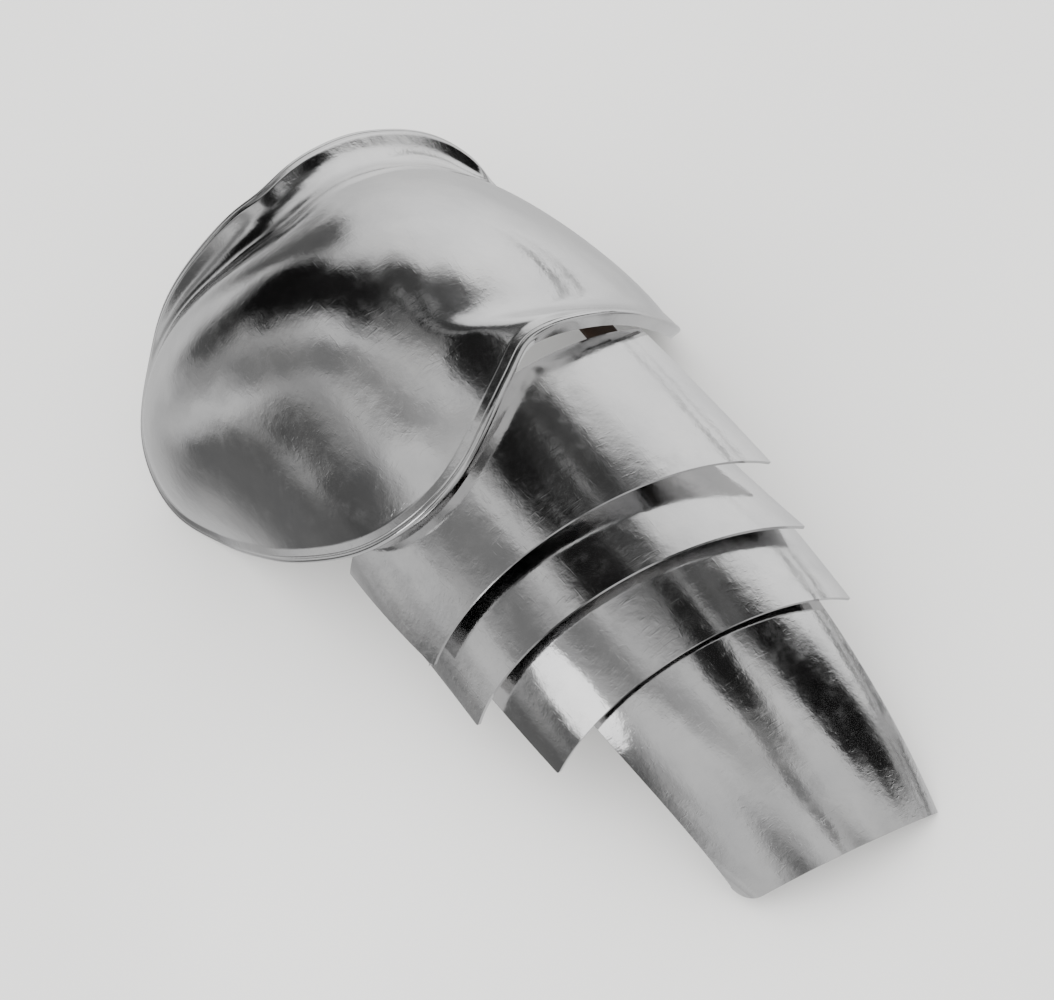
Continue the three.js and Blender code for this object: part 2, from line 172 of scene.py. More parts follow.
LAMES = [sized_lame(shape) for shape in LAME_SHAPES]

# How finely a lame is drawn, with more columns over its rounded front corner
LAME_COLUMNS = 161
LAME_ROWS = 61
CORNER_SHARES = (0.02, 0.06, 0.12, 0.2, 0.3, 0.4, 0.52, 0.64, 0.78, 0.92)
SOFT_EDGE = 0.35
SOFT_EDGE_ANGLE = 50
SHARP_ANGLE = 35

# How far round from the crest each leather lies
LEATHERS = {"leather_front": -26, "leather_back": 41}
RIVETS_IN_EACH = 5
LEATHER_WIDTH = 16
LEATHER_CORNER = 5
LEATHER_TIP = 0.2
LEATHER_STEP = 0.5
LEATHER_SIDES = 48
LEATHER_SHARP_ANGLE = 60
# The section of a leather is a flat oval: the less these are, the squarer its sides and its faces
SIDE_ROUNDING = 0.22
FACE_ROUNDING = 0.4
# Its long sides are wavy by this much, this fast along it, and not alike on its two sides
LEATHER_CURL = 0.12
CURL_RATE = 0.31
CURL_ASIDE = 2.1
LEATHER_FIT = 0.995
# Where the outer face of a leather is felt for, beside its rivets and from outside the arm
BESIDE_RIVETS = 4.5
OUTSIDE_ARM = 140
EASED_STEPS = 11
EASED_LIFT = 0.15

RIVET_SHANK = 1.6
RIVET_HEAD = 4
RIVET_RISE = 1.6
RIVET_BRIM = 0.1
RIVET_CHAMFER = 0.15
RIVET_SIDES = 36
DOME_ANGLES = (8, 20, 34, 48, 62, 75, 86)

REST_PITCH = 12.82
REST_ROLL = 3.86
LAID_SHIFT = (-113.63, 14.97, 30.91)

LAID = Matrix.Rotation(math.radians(REST_ROLL), 3, "X") @ Matrix.Rotation(math.radians(REST_PITCH), 3, "Y")


def laid(points):
    """Points in the arm's frame, in millimetres, as metres in the frame of the part."""
    turned = np.asarray(points, float) @ np.array(LAID).T
    return (turned + np.array(LAID_SHIFT)) * 0.001


# Shoulder plate


def rim_column(name, bearing):
    """A smooth closed curve through a column of RIM, read at any bearings."""
    at = np.array([row[0] for row in RIM], float)
    value = np.array([row[RIM_COLUMNS.index(name)] for row in RIM], float)
    span_both = (np.roll(at, -1) - np.roll(at, 1)) % 360
    slope = (np.roll(value, -1) - np.roll(value, 1)) / span_both
    bearing = (np.asarray(bearing, float) - at[0]) % 360 + at[0]
    i = np.searchsorted(at, bearing, side="right") - 1
    following = (i + 1) % len(RIM)
    span = (at[following] - at[i]) % 360
    t = (bearing - at[i]) / span
    t2, t3 = t * t, t * t * t
    return (
        (2 * t3 - 3 * t2 + 1) * value[i]
        + (t3 - 2 * t2 + t) * span * slope[i]
        + (3 * t2 - 2 * t3) * value[following]
        + (t3 - t2) * span * slope[following]
    )


def faired(name, bearing, out):
    shares = np.array([-0.8, -0.6, -0.4, -0.2, 0, 0.2, 0.4, 0.6, 0.8])
    weights = np.cos(shares * math.pi / 2)
    spread = np.hypot(RIM_FAIRING, FAIRING * np.maximum(0, 1 - out) ** FAIRING_FADE)
    total = 0
    for share, weight in zip(shares, weights):
        total = total + weight * rim_column(name, bearing + spread * share)
    return total / weights.sum()


def shoulder_point(bearing, out):
    bearing, out = np.broadcast_arrays(np.asarray(bearing, float), np.asarray(out, float))
    turn = np.radians(faired("turn", bearing, out))
    across = REACH * faired("reach", bearing, out) * np.sin(turn * out) / np.sin(turn)
    down = DROP * faired("drop", bearing, out) * (1 - np.cos(turn * out)) / (1 - np.cos(turn))
    angle = np.radians(bearing)
    return np.stack(
        [CROWN[0] + across * np.cos(angle), CROWN[1] + across * np.sin(angle), CROWN[2] - down], -1
    )


def unit(v):
    return v / np.maximum(np.linalg.norm(v, axis=-1, keepdims=True), 1e-12)


def shoulder_frame(bearing, out):
    """Square outwards to the surface, and along it away from the crown."""
    away = unit(shoulder_point(bearing, out) - shoulder_point(bearing, out - 0.01))
    side = shoulder_point(bearing + SIDE_STEP, out) - shoulder_point(bearing - SIDE_STEP, out)
    normal = unit(np.cross(away, side))
    return normal, unit(np.cross(side, normal))


def rim_path(flange_share):
    """The outer face beyond the rim, as rows of (away, normal, heading, sink), and where its corner is."""
    raised = min(1, max(0, flange_share / FULL_FLANGE))
    raised = raised * raised * (3 - 2 * raised)
    rise = RIM_FLARE + (FLANGE_RISE - RIM_FLARE) * raised
    lip = rise - LIP_LEAN * raised
    length = FLARE_LENGTH + FLANGE_HEIGHT * flange_share - LIP_WIDTH
    a = n = 0.0
    points = []
    for i in range(FLARE_STEPS):
        heading = rise * min(1, (i + 0.5) / (FLARE_BEND * FLARE_STEPS))
        a += length / FLARE_STEPS * math.cos(math.radians(heading))
        n += length / FLARE_STEPS * math.sin(math.radians(heading))
        points.append((a, n, heading, 0))
    for i in range(LIP_STEPS):
        along = LIP_WIDTH * (i + 1) / LIP_STEPS
        heading = lip + (rise - lip) * max(0, 1 - along / LIP_CREASE)
        a += LIP_WIDTH / LIP_STEPS * math.cos(math.radians(heading))
        n += LIP_WIDTH / LIP_STEPS * math.sin(math.radians(heading))
        # a shallow groove follows the edge
        d = abs(LIP_WIDTH - along - GROOVE_FROM_EDGE) / (GROOVE_WIDTH / 2)
        sink = GROOVE_DEPTH * 0.5 * (1 + math.cos(math.pi * d)) if d < 1 else 0
        points.append((a, n, heading, sink))
    corner_from = len(points) - 1
    turned = lip + 90
    chord = 2 * CORNER_RADIUS * math.sin(math.radians(turned / CORNER_STEPS / 2))
    for i in range(CORNER_STEPS):
        heading = lip - turned * (i + 0.5) / CORNER_STEPS
        a += chord * math.cos(math.radians(heading))
        n += chord * math.sin(math.radians(heading))
        points.append((a, n, lip - turned * (i + 1) / CORNER_STEPS, 0))
    corner_to = len(points) - 1
    for _ in range(TURN_IN_STEPS):
        n -= RIM_TURN_IN / TURN_IN_STEPS
        points.append((a, n, -90, 0))
    return points, corner_from, corner_to


def dome_rings(bearing, rings):
    """The dome's rings of points and normals.

    A wave of many humps to the turn dies out towards the crown, as it does on any smooth surface.
    """
    out = np.arange(1, rings + 2)[:, None] / rings
    points = shoulder_point(bearing[None, :], out)
    across2 = ((points[..., :2] - CROWN[:2]) ** 2).sum(-1)
    waves = np.fft.rfft((CROWN[2] - points[..., 2]) / across2, axis=1)
    humps = np.arange(waves.shape[1])
    power = np.where(humps == 0, 0, np.abs(humps - 2))
    x = np.minimum(1, out / CALM_CROWN)
    waves *= (x + x * x - x**3) ** power
    points[..., 2] = CROWN[2] - np.fft.irfft(waves, len(bearing), axis=1) * across2
    crown = np.broadcast_to(np.array(CROWN, float), points[:1].shape)
    both = np.concatenate([crown, points])
    normals = np.cross(both[2:] - both[:-2], np.roll(points, -1, 1)[:-1] - np.roll(points, 1, 1)[:-1])
    return points[:-1], unit(normals)


def fanned(directions, shares):
    """Where the flange is tall, its directions turn evenly from spoke to spoke."""
    turn = np.arange(-FAIRING_REACH, FAIRING_REACH + 1)
    even = np.empty_like(directions)
    for spoke, share in enumerate(shares):
        width = LOW_FLANGE_FAIRING + FLANGE_FAIRING * min(1, share / TALL_FLANGE)
        weight = np.exp(-0.5 * (turn / width) ** 2)
        even[spoke] = (weight[:, None] * directions[(spoke + turn) % len(directions)]).sum(0)
    return unit(even)


def shoulder_plate():
    bearing = np.arange(SPOKES) * 360 / SPOKES
    points, normals = dome_rings(bearing, RINGS)
    outer = list(points)
    inner = list(points - SHELL_WALL * normals)
    start = shoulder_point(bearing, np.ones(SPOKES))
    normal, away = shoulder_frame(bearing, np.ones(SPOKES))
    shares = np.maximum(0, rim_column("flange", bearing))
    normal, away = fanned(normal, shares), fanned(away, shares)
    paths = [rim_path(share) for share in shares]
    _, corner_from, corner_to = paths[0]
    table = np.array([path[0] for path in paths])
    for i in range(table.shape[1]):
        a, n, heading, sink = (table[:, i, k][:, None] for k in range(4))
        h = np.radians(heading)
        face = (a + sink * np.sin(h), n - sink * np.cos(h))
        outer.append(start + away * face[0] + normal * face[1])
        # the inner face has no points where the outer one goes round the corner
        if i < corner_from or i >= corner_to:
            back = (a + SHELL_WALL * np.sin(h), n - SHELL_WALL * np.cos(h))
            inner.append(start + away * back[0] + normal * back[1])
    rows = outer + inner[::-1]
    crown = shoulder_point(np.zeros(1), np.zeros(1))[0]
    return ring_mesh("shoulder_plate_polished", rows, crown, crown - np.array([0, 0, SHELL_WALL]))


def ring_mesh(name, rows, first, last):
    spokes = len(rows[0])
    points = np.concatenate([[first], *rows, [last]])
    faces = []
    for s in range(spokes):
        t = (s + 1) % spokes
        faces.append((0, 1 + s, 1 + t))
        for r in range(len(rows) - 1):
            a, b = 1 + r * spokes, 1 + (r + 1) * spokes
            faces.append((a + s, b + s, b + t, a + t))
        end = 1 + (len(rows) - 1) * spokes
        faces.append((len(points) - 1, end + t, end + s))
    return new_mesh(name, points, faces)


def new_mesh(name, points, faces, sharp=SHARP_ANGLE):
    mesh = bpy.data.meshes.new(name)
    mesh.from_pydata([tuple(p) for p in laid(points)], [], [tuple(int(i) for i in f) for f in faces])
    mesh.validate()
    mesh.shade_smooth()
    mesh.set_sharp_from_angle(angle=math.radians(sharp))
    mesh.update()
    obj = bpy.data.objects.new(name, mesh)
    bpy.context.scene.collection.objects.link(obj)
    return obj


# Lames


def lame_point(lame, u, v):
    """A place on the outer face: u goes round from front to back, and v along from the top to the edge."""
    top, edge = lame.top, lame.edge
    here = End(*(high + (low - high) * v for high, low in zip(top, edge)))
    radius = here.radius + lame.bow * 4 * v * (1 - v)
    front = top.front + (edge.front - top.front) * v**lame.sweep
    angle = np.radians(-front + (front + here.back) * u)
    y = radius * np.sin(angle) + here.shift
    z = radius * np.cos(angle)
    from_front = radius * (angle + math.radians(edge.front))
    inset = np.maximum(0, lame.corner - from_front)
    cut = lame.corner - np.sqrt(np.maximum(0, lame.corner * lame.corner - inset * inset))
    upper = top.along + top.lean * z + top.skew * y
    lower = edge.along + edge.lean * z + edge.skew * y - cut
    return np.stack([upper + (lower - upper) * v, y, z], -1)


def lame_piece(lame):
    span = math.radians(lame.edge.front + lame.edge.back) * lame.edge.radius
    over_corner = np.array(CORNER_SHARES) * lame.corner / span
    columns = np.concatenate([np.linspace(0, 1, LAME_COLUMNS), over_corner])
    u, v = np.meshgrid(np.unique(np.round(columns, 5)), np.linspace(0, 1, LAME_ROWS))
    e = 1e-3
    outer = lame_point(lame, u, v)
    along_u = lame_point(lame, np.minimum(1, u + e), v) - lame_point(lame, np.maximum(0, u - e), v)
    along_v = lame_point(lame, u, np.minimum(1, v + e)) - lame_point(lame, u, np.maximum(0, v - e))
    normal = unit(np.cross(along_v, along_u))
    obj = wall_mesh(lame.name + "_polished", outer, outer - LAME_WALL * normal)
    soften_edges(obj)
    return obj


def wall_mesh(name, outer, inner):
    high, wide = outer.shape[:2]
    behind = high * wide
    faces = []
    for j in range(high - 1):
        for i in range(wide - 1):
            a = j * wide + i
            faces.append((a, a + wide, a + wide + 1, a + 1))
            b = behind + a
            faces.append((b, b + 1, b + wide + 1, b + wide))
    border = list(range(wide))
    border += [j * wide + wide - 1 for j in range(1, high)]
    border += [(high - 1) * wide + i for i in range(wide - 2, -1, -1)]
    border += [j * wide for j in range(high - 2, 0, -1)]
    for k, a in enumerate(border):
        b = border[(k + 1) % len(border)]
        faces.append((a, b, behind + b, behind + a))
    points = np.concatenate([outer.reshape(-1, 3), inner.reshape(-1, 3)])
    return new_mesh(name, points, faces)


# Leathers and rivets


def arm_axes(around):
    """Along the arm, across at an angle round from the crest, and outwards there."""
    s, c = math.sin(math.radians(around)), math.cos(math.radians(around))
    return np.array([[1, 0, 0], [0, c, -s], [0, s, c]], float)


def in_arm_frame(obj, around):
    """A CAD node's corners in millimetres as (along, across, outwards)."""
    points = np.array([obj.matrix_world @ v.co for v in obj.data.vertices]) * 1000 - LAID_SHIFT
    return points @ np.array(LAID) @ arm_axes(around).T


def leather_run(name):
    """The outer face of a leather in CAD, read step by step along it and eased over its bends."""
    node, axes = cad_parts[name], arm_axes(LEATHERS[name])
    corners = in_arm_frame(node, LEATHERS[name])
    low, high = corners[:, 0].min(), corners[:, 0].max()
    along = np.arange(low + LEATHER_TIP, high - LEATHER_TIP, LEATHER_STEP)
    into = node.matrix_world.inverted()
    start = laid(np.stack([along, along * 0 + BESIDE_RIVETS, along * 0 + OUTSIDE_ARM], -1) @ axes)
    inward = into.to_3x3() @ Vector(laid(-axes[2:])[0] - laid(axes[2:] * 0)[0]).normalized()
    height = []
    for p in start:
        hit, place, _, _ = node.ray_cast(into @ Vector(p), inward)
        height.append((node.matrix_world @ place - Vector(p)).length * 1000 if hit else np.nan)
    height = OUTSIDE_ARM - np.array(height)
    known = ~np.isnan(height)
    height = np.interp(along, along[known], height[known])
    kernel = np.hanning(EASED_STEPS)
    padded = np.pad(height, EASED_STEPS // 2, mode="edge")
    eased = np.convolve(padded, kernel / kernel.sum(), mode="valid")
    return along, np.minimum(eased, height + EASED_LIFT)


def leather_piece(name):
    along, height = leather_run(name)
    axes = arm_axes(LEATHERS[name])
    r = LEATHER_CORNER
    from_end = np.clip(np.minimum(along - along[0], along[-1] - along), 0, r)
    half = LEATHER_WIDTH / 2 - r + np.sqrt(np.maximum(0, r * r - (r - from_end) ** 2))
    half = np.maximum(half, LEATHER_WIDTH / 2 - r + LEATHER_TIP)
    rise, run = np.gradient(height), np.gradient(along)
    square = unit(np.stack([-rise, run], -1))
    # one turn round the strip: its section is a flat oval with rounded edges
    turn = np.radians(np.arange(LEATHER_SIDES) * 360 / LEATHER_SIDES)
    side = np.sign(np.cos(turn)) * np.abs(np.cos(turn)) ** SIDE_ROUNDING
    thick = np.sign(np.sin(turn)) * np.abs(np.sin(turn)) ** FACE_ROUNDING
    wave = LEATHER_CURL * np.sin(along[:, None] * CURL_RATE + side * CURL_ASIDE) * np.abs(side) ** 2
    depth = LEATHER_WALL * (thick - 1) / 2 + wave - LEATHER_CURL
    a = along[:, None] + square[:, :1] * depth
    h = height[:, None] + square[:, 1:] * depth
    across = half[:, None] * side * LEATHER_FIT
    points = np.stack([a, across, h], -1) @ axes
    count = len(turn)
    faces = []
    for i in range(len(along) - 1):
        for k in range(count):
            m = (k + 1) % count
            faces.append((i * count + k, (i + 1) * count + k, (i + 1) * count + m, i * count + m))
    faces.append(tuple(range(count)))
    faces.append(tuple(reversed(range((len(along) - 1) * count, len(along) * count))))
    return new_mesh(name + "_strap", points.reshape(-1, 3), faces, LEATHER_SHARP_ANGLE)


def rivet_piece(name):
    """A domed head inside the leather, on a shank that goes out into the plate."""
    around = LEATHERS["leather_" + name.split("_")[1]]
    corners = in_arm_frame(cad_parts[name], around)
    along = (corners[:, 0].min() + corners[:, 0].max()) / 2
    top, end = corners[:, 2].min(), corners[:, 2].max()
    foot = top + RIVET_RISE
    profile = []
    for angle in np.radians(DOME_ANGLES):
        profile.append((RIVET_HEAD * math.sin(angle), top + RIVET_RISE * (1 - math.cos(angle))))
    profile += [(RIVET_HEAD, foot - RIVET_BRIM), (RIVET_HEAD - RIVET_CHAMFER, foot)]
    profile += [(RIVET_SHANK, foot), (RIVET_SHANK, end)]
    turn = np.arange(RIVET_SIDES) * 2 * math.pi / RIVET_SIDES
    rows = [
        np.stack([along + r * np.cos(turn), r * np.sin(turn), turn * 0 + h], -1) @ arm_axes(around)
        for r, h in profile
    ]
    first = np.array([along, 0, top]) @ arm_axes(around)
    last = np.array([along, 0, end]) @ arm_axes(around)
    return ring_mesh(name + "_domed", rows, first, last)


def soften_edges(obj):
    bevel = obj.modifiers.new("soft_edges", "BEVEL")
    bevel.width = SOFT_EDGE * 0.001
    bevel.segments = 3
    bevel.limit_method = "ANGLE"
    bevel.angle_limit = math.radians(SOFT_EDGE_ANGLE)
    bevel.harden_normals = False


# Materials

GREY_STEEL = (0.66, 0.66, 0.665)
BRIGHT_STEEL = (0.76, 0.755, 0.75)
RIVET_DARK = (0.42, 0.42, 0.43)
RIVET_LIGHT = (0.6, 0.59, 0.58)
LEATHER_DARK = (0.022, 0.012, 0.007)
LEATHER_LIGHT = (0.06, 0.033, 0.02)
FLOOR_DARK = (0.74, 0.735, 0.72)
FLOOR_LIGHT = (0.79, 0.785, 0.77)
# Scratches are drawn out along the axis with the small share
SCRATCH_STRETCHES = ((0.09, 1, 1), (1, 0.1, 0.6), (0.5, 0.1, 1))


def shader(name):
    material = bpy.data.materials.new(name)
    material.use_nodes = True
    nodes, links = material.node_tree.nodes, material.node_tree.links
    surface = next(n for n in nodes if n.type == "BSDF_PRINCIPLED")
    return material, nodes, links, surface


def noise(nodes, links, vector, scale, detail=4, roughness=0.55, stretch=None, distortion=0):
    if stretch:
        mapping = nodes.new("ShaderNodeMapping")
        mapping.inputs["Scale"].default_value = stretch
        links.new(vector, mapping.inputs["Vector"])
        vector = mapping.outputs["Vector"]
    texture = nodes.new("ShaderNodeTexNoise")
    texture.inputs["Scale"].default_value = scale
    texture.inputs["Detail"].default_value = detail
    texture.inputs["Roughness"].default_value = roughness
    texture.inputs["Distortion"].default_value = distortion
    links.new(vector, texture.inputs["Vector"])
    return texture.outputs["Fac"]


def ramp(nodes, links, value, stops):
    """stops are (place, grey) or (place, (r, g, b))."""
    node = nodes.new("ShaderNodeValToRGB")
    elements = node.color_ramp.elements
    while len(elements) < len(stops):
        elements.new(0.5)
    for element, (place, colour) in zip(elements, stops):
        element.position = place
        element.color = (*colour, 1) if isinstance(colour, tuple) else (colour, colour, colour, 1)
    links.new(value, node.inputs["Fac"])
    return node.outputs["Color"]


def maths(nodes, links, operation, a, b):
    node = nodes.new("ShaderNodeMath")
    node.operation = operation
    for socket, value in zip(node.inputs, (a, b)):
        if isinstance(value, (int, float)):
            socket.default_value = value
        else:
            links.new(value, socket)
    return node.outputs["Value"]


def bump(nodes, links, height, distance_mm, strength, normal=None):
    node = nodes.new("ShaderNodeBump")
    node.inputs["Distance"].default_value = distance_mm * 0.001
    node.inputs["Strength"].default_value = strength
    links.new(height, node.inputs["Height"])
    if normal is not None:
        links.new(normal, node.inputs["Normal"])
    return node.outputs["Normal"]


def polished_steel():
    material, nodes, links, surface = shader("polished_steel")
    place = nodes.new("ShaderNodeTexCoord").outputs["Object"]
    surface.inputs["Metallic"].default_value = 1
    tone = noise(nodes, links, place, scale=35, detail=5, roughness=0.6)
    colour = ramp(nodes, links, tone, [(0.3, GREY_STEEL), (0.7, BRIGHT_STEEL)])
    links.new(colour, surface.inputs["Base Color"])
    # thumbed and wiped patches are duller, with torn edges
    smudge = noise(nodes, links, place, scale=46, detail=9, roughness=0.7)
    dullness = ramp(nodes, links, smudge, [(0.4, 0.1), (0.54, 0.14), (0.68, 0.26)])
    links.new(dullness, surface.inputs["Roughness"])
    # slow waves from the hammer, then the uneven polish, then sparse fine scratches in three directions
    waves = noise(nodes, links, place, scale=22, detail=2, roughness=0.5)
    normal = bump(nodes, links, waves, distance_mm=1.0, strength=0.2)
    polish = noise(nodes, links, place, scale=130, detail=4, roughness=0.55)
    normal = bump(nodes, links, polish, distance_mm=0.3, strength=0.36, normal=normal)
    for stretch in SCRATCH_STRETCHES:
        lines = noise(nodes, links, place, scale=620, detail=2, roughness=0.6, stretch=stretch)
        scratches = ramp(nodes, links, lines, [(0.62, 0.0), (0.7, 1.0)])
        normal = bump(nodes, links, scratches, distance_mm=0.03, strength=0.3, normal=normal)
    links.new(normal, surface.inputs["Normal"])
    return material


def rivet_steel():
    material, nodes, links, surface = shader("rivet_steel")
    place = nodes.new("ShaderNodeTexCoord").outputs["Object"]
    surface.inputs["Metallic"].default_value = 1
    tone = noise(nodes, links, place, scale=400, detail=4, roughness=0.6)
    colour = ramp(nodes, links, tone, [(0.3, RIVET_DARK), (0.7, RIVET_LIGHT)])
    links.new(colour, surface.inputs["Base Color"])
    links.new(ramp(nodes, links, tone, [(0.3, 0.25), (0.7, 0.42)]), surface.inputs["Roughness"])
    links.new(bump(nodes, links, tone, distance_mm=0.15, strength=0.5), surface.inputs["Normal"])
    return material


def brown_leather():
    material, nodes, links, surface = shader("brown_leather")
    place = nodes.new("ShaderNodeTexCoord").outputs["Object"]
    tone = noise(nodes, links, place, scale=60, detail=6, roughness=0.6)
    colour = ramp(nodes, links, tone, [(0.3, LEATHER_DARK), (0.7, LEATHER_LIGHT)])
    links.new(colour, surface.inputs["Base Color"])
    grain = nodes.new("ShaderNodeTexVoronoi")
    grain.feature = "DISTANCE_TO_EDGE"
    grain.inputs["Scale"].default_value = 900
    links.new(place, grain.inputs["Vector"])
    creases = ramp(nodes, links, grain.outputs["Distance"], [(0.0, 0.0), (0.25, 1.0)])
    normal = bump(nodes, links, creases, distance_mm=0.15, strength=0.5)
    hide = noise(nodes, links, place, scale=120, detail=4, roughness=0.6)
    normal = bump(nodes, links, hide, distance_mm=0.4, strength=0.4, normal=normal)
    links.new(normal, surface.inputs["Normal"])
    links.new(ramp(nodes, links, tone, [(0.3, 0.5), (0.7, 0.7)]), surface.inputs["Roughness"])
    return material


def pale_floor():
    material, nodes, links, surface = shader("pale_floor")
    place = nodes.new("ShaderNodeTexCoord").outputs["Object"]
    tone = noise(nodes, links, place, scale=3, detail=4, roughness=0.5)
    colour = ramp(nodes, links, tone, [(0.3, FLOOR_DARK), (0.7, FLOOR_LIGHT)])
    links.new(colour, surface.inputs["Base Color"])
    surface.inputs["Roughness"].default_value = 0.7
    return material


def dress(obj, material, slot, *nodes):
    obj.data.materials.clear()
    obj.data.materials.append(material)
    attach(obj, "root")
    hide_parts(*nodes)


steel = polished_steel()
dress(shoulder_plate(), steel, "polished_steel", "shoulder_plate")
for lame in LAMES:
    dress(lame_piece(lame), steel, "polished_steel", lame.name)

rivet_look = rivet_steel()
leather_look = brown_leather()
for name in LEATHERS:
    dress(leather_piece(name), leather_look, "leather", name)
    for number in range(1, RIVETS_IN_EACH + 1):
        rivet = name.replace("leather", "rivet") + f"_{number}"
        dress(rivet_piece(rivet), rivet_look, "rivet_steel", rivet)

# Floor, light and camera

FLOOR_SIZE = 12

bpy.ops.mesh.primitive_plane_add(size=FLOOR_SIZE, location=(0, 0, 0))
floor = bpy.context.object
floor.name = "floor"
floor.data.materials.append(pale_floor())
# The plates mirror the screens of the studio and not the floor
floor.visible_glossy = False

# The studio is pale all round. Only the polished plates show its dark screens and its brighter panel, which
# are ovals with soft edges. Where they stand, their half sizes and their tilt are in degrees.
STUDIO_LIGHT = 0.8
FLOOR_SKY_LIGHT = 2.6
Screen = namedtuple("Screen", "azimuth elevation half_width half_height tilt softness brightness cover")
SCREENS = [
    (122, 12, 30, 32, 0, 0.7, 1.6, 0.95),
    (-118, 38, 8, 52, -25, 0.6, 0.13, 0.85),
    (-95, 14, 15, 24, 0, 0.6, 0.04, 0.9),
    (-112, -20, 13, 30, -32, 0.6, 0.06, 0.88),
    (-148, 8, 11, 15, 0, 0.6, 0.03, 0.9),
    (179, 10, 9, 24, 14, 0.5, 0.04, 0.9),
    (-157, 35, 19, 25, 0, 0.35, 0.008, 1),
    (-168, 62, 15, 26, 0, 0.4, 0.012, 1),
    (140, 66, 15, 14, 0, 0.45, 0.02, 0.95),
    (105, 53, 11, 12, 10, 0.5, 0.025, 0.9),
    (72, 76, 13, 12, 0, 0.4, 0.015, 1),
    (84, 32, 13, 23, 0, 0.28, 0.008, 1),
    (92, -3, 14, 5, 0, 0.7, 0.2, 0.85),
    (6, 66, 4, 15, -22, 0.6, 0.1, 0.85),
    (147, 69, 3, 3, 0, 0.7, 0.3, 0.8),
    (122, 73, 3, 3, 0, 0.7, 0.3, 0.8),
    (128, 80, 2.5, 2.5, 0, 0.7, 0.2, 0.7),
    (-156, 79, 3, 3, 0, 0.7, 0.25, 0.7),
    (-42, 22, 13, 30, 0, 0.5, 0.04, 0.9),
    (22, 24, 12, 26, 0, 0.5, 0.03, 0.9),
    (-8, -22, 34, 10, 0, 0.7, 0.16, 0.8),
    (62, -24, 18, 10, 0, 0.7, 0.14, 0.8),
]

# Long, narrow screens whose edges aren't ragged
STRIPS = [
    (98, 4, 24, 1.6, 0, 0.5, 0.02, 0.9),
    (96, -3, 24, 1.2, 0, 0.5, 0.05, 0.85),
]

# How fast a screen fades out on the far side of the sky
SKY_BEHIND = 20
# The edges of the screens are ragged by this much, and the pale studio is this uneven
RAGGEDNESS = 0.3
UNEVENNESS = 0.5


def toward(azimuth, elevation):
    a, e = math.radians(azimuth), math.radians(elevation)
    return Vector((math.cos(e) * math.cos(a), math.cos(e) * math.sin(a), math.sin(e)))


def dot(nodes, links, vector, fixed):
    node = nodes.new("ShaderNodeVectorMath")
    node.operation = "DOT_PRODUCT"
    links.new(vector, node.inputs[0])
    node.inputs[1].default_value = fixed
    return node.outputs["Value"]


def add_screen(nodes, links, direction, light, screen):
    """The light so far, covered by a screen in the directions where it stands."""
    centre = toward(screen.azimuth, screen.elevation)
    east = toward(screen.azimuth + 90, 0)
    turn = Matrix.Rotation(math.radians(screen.tilt), 3, centre)
    wide = turn @ east / math.sin(math.radians(screen.half_width))
    high = turn @ centre.cross(east) / math.sin(math.radians(screen.half_height))
    place = nodes.new("ShaderNodeCombineXYZ")
    links.new(dot(nodes, links, direction, wide), place.inputs["X"])
    links.new(dot(nodes, links, direction, high), place.inputs["Y"])
    behind = maths(nodes, links, "MAXIMUM", dot(nodes, links, direction, centre * -SKY_BEHIND), 0)
    links.new(behind, place.inputs["Z"])
    length = nodes.new("ShaderNodeVectorMath")
    length.operation = "LENGTH"
    links.new(place.outputs["Vector"], length.inputs[0])
    edge = nodes.new("ShaderNodeMapRange")
    edge.interpolation_type = "SMOOTHSTEP"
    edge.inputs["From Min"].default_value = 1 + screen.softness
    edge.inputs["From Max"].default_value = 1 - screen.softness
    edge.inputs["To Max"].default_value = screen.cover
    links.new(length.outputs["Value"], edge.inputs["Value"])
    blend = nodes.new("ShaderNodeMix")
    links.new(edge.outputs["Result"], blend.inputs["Factor"])
    links.new(light, blend.inputs["A"])
    blend.inputs["B"].default_value = screen.brightness
    return blend.outputs["Result"]


def ragged(nodes, links, direction):
    """Directions moved about a little, which frays what is drawn from them."""
    fray = nodes.new("ShaderNodeTexNoise")
    fray.inputs["Scale"].default_value = 4.5
    fray.inputs["Detail"].default_value = 5
    links.new(direction, fray.inputs["Vector"])
    centred = nodes.new("ShaderNodeVectorMath")
    centred.operation = "MULTIPLY_ADD"
    links.new(fray.outputs["Color"], centred.inputs[0])
    centred.inputs[1].default_value = (RAGGEDNESS,) * 3
    centred.inputs[2].default_value = (-RAGGEDNESS / 2,) * 3
    moved = nodes.new("ShaderNodeVectorMath")
    moved.operation = "ADD"
    links.new(direction, moved.inputs[0])
    links.new(centred.outputs["Vector"], moved.inputs[1])
    even = nodes.new("ShaderNodeVectorMath")
    even.operation = "NORMALIZE"
    links.new(moved.outputs["Vector"], even.inputs[0])
    return even.outputs["Vector"]


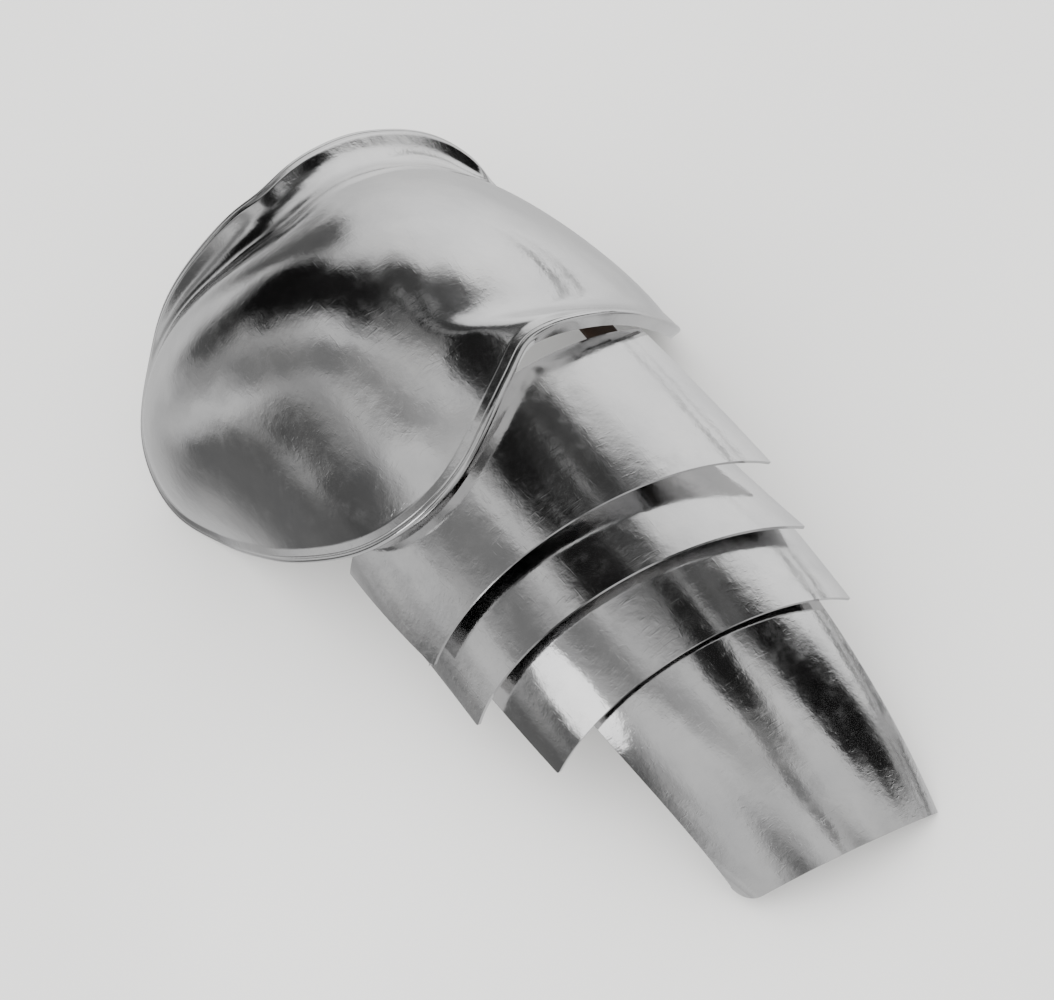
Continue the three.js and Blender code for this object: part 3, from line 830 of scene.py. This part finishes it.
def studio():
    """An even sky that lights the floor and the leathers, and the screens where polished steel mirrors it."""
    world = bpy.data.worlds.new("studio")
    world.use_nodes = True
    nodes, links = world.node_tree.nodes, world.node_tree.links
    background = nodes["Background"]
    direction = nodes.new("ShaderNodeTexCoord").outputs["Generated"]
    frayed = ragged(nodes, links, direction)
    stretch = (1, 1, 0.35)
    streaks = noise(nodes, links, direction, 2.2, detail=4, roughness=0.5, stretch=stretch, distortion=0.6)
    light = maths(nodes, links, "MULTIPLY_ADD", streaks, UNEVENNESS)
    light.node.inputs[2].default_value = STUDIO_LIGHT - UNEVENNESS / 2
    for row in SCREENS:
        light = add_screen(nodes, links, frayed, light, Screen(*row))
    for row in STRIPS:
        light = add_screen(nodes, links, direction, light, Screen(*row))
    background.inputs["Color"].default_value = (1, 1, 1, 1)
    background.inputs["Strength"].default_value = FLOOR_SKY_LIGHT
    screens = nodes.new("ShaderNodeBackground")
    screens.inputs["Color"].default_value = (1, 1, 1, 1)
    links.new(light, screens.inputs["Strength"])
    either = nodes.new("ShaderNodeMixShader")
    links.new(nodes.new("ShaderNodeLightPath").outputs["Is Glossy Ray"], either.inputs["Fac"])
    links.new(background.outputs["Background"], either.inputs[1])
    links.new(screens.outputs["Background"], either.inputs[2])
    links.new(either.outputs["Shader"], nodes["World Output"].inputs["Surface"])
    world.cycles.sampling_method = "NONE"
    bpy.context.scene.world = world


# A small lamp close by makes the bright place at the front end of lame_3
LAMP_PLACE = Vector((0.063, -0.185, 0.131))
LAMP_AIM = Vector((0.092, -0.028, 0.049))
LAMP_SIZE = 0.1
LAMP_POWER = 0.05


def small_lamp():
    data = bpy.data.lights.new("small_lamp", "AREA")
    data.shape = "DISK"
    data.size = LAMP_SIZE
    data.energy = LAMP_POWER
    lamp = bpy.data.objects.new("small_lamp", data)
    lamp.location = LAMP_PLACE
    lamp.rotation_euler = (LAMP_AIM - LAMP_PLACE).to_track_quat("-Z", "Y").to_euler()
    lamp.visible_camera = False
    bpy.context.scene.collection.objects.link(lamp)


studio()
small_lamp()

# The width of the photo and the focal length of its camera, both in the photo's pixels
PHOTO_WIDTH = 1054
FOCAL_PIXELS = 3173
SENSOR_WIDTH = 36

camera_data = bpy.data.cameras.new("camera")
camera_data.sensor_fit = "HORIZONTAL"
camera_data.sensor_width = SENSOR_WIDTH
camera_data.lens = SENSOR_WIDTH * FOCAL_PIXELS / PHOTO_WIDTH
camera_data.clip_end = 50
camera = bpy.data.objects.new("camera", camera_data)
bpy.context.scene.collection.objects.link(camera)
bpy.context.scene.camera = camera

# Where the photo was taken from: tipped from straight above the arm towards the elbow, then to the front,
# and rolled. The target and the distance are in the arm's frame.
VIEW_TIP, VIEW_FRONT, VIEW_ROLL = 24.3, 3.9, 38.2
VIEW_DISTANCE = 1295
VIEW_TARGET = (82.4, -4.75, 0)


def place_camera():
    tip, front, roll = (math.radians(v) for v in (VIEW_TIP, VIEW_FRONT, VIEW_ROLL))
    back = Vector((math.sin(tip) * math.cos(front), -math.sin(front), math.cos(tip) * math.cos(front)))
    down = (Vector((1, 0, 0)) - back * back.x).normalized()
    right = down.cross(-back)
    across = right * math.cos(roll) + down * math.sin(roll)
    below = down * math.cos(roll) - right * math.sin(roll)
    turn = Matrix((LAID @ across, LAID @ -below, LAID @ back)).transposed()
    eye = laid(np.array([VIEW_TARGET]) + np.array(back) * VIEW_DISTANCE)[0]
    camera.matrix_world = Matrix.Translation(Vector(eye)) @ turn.to_4x4()


place_camera()
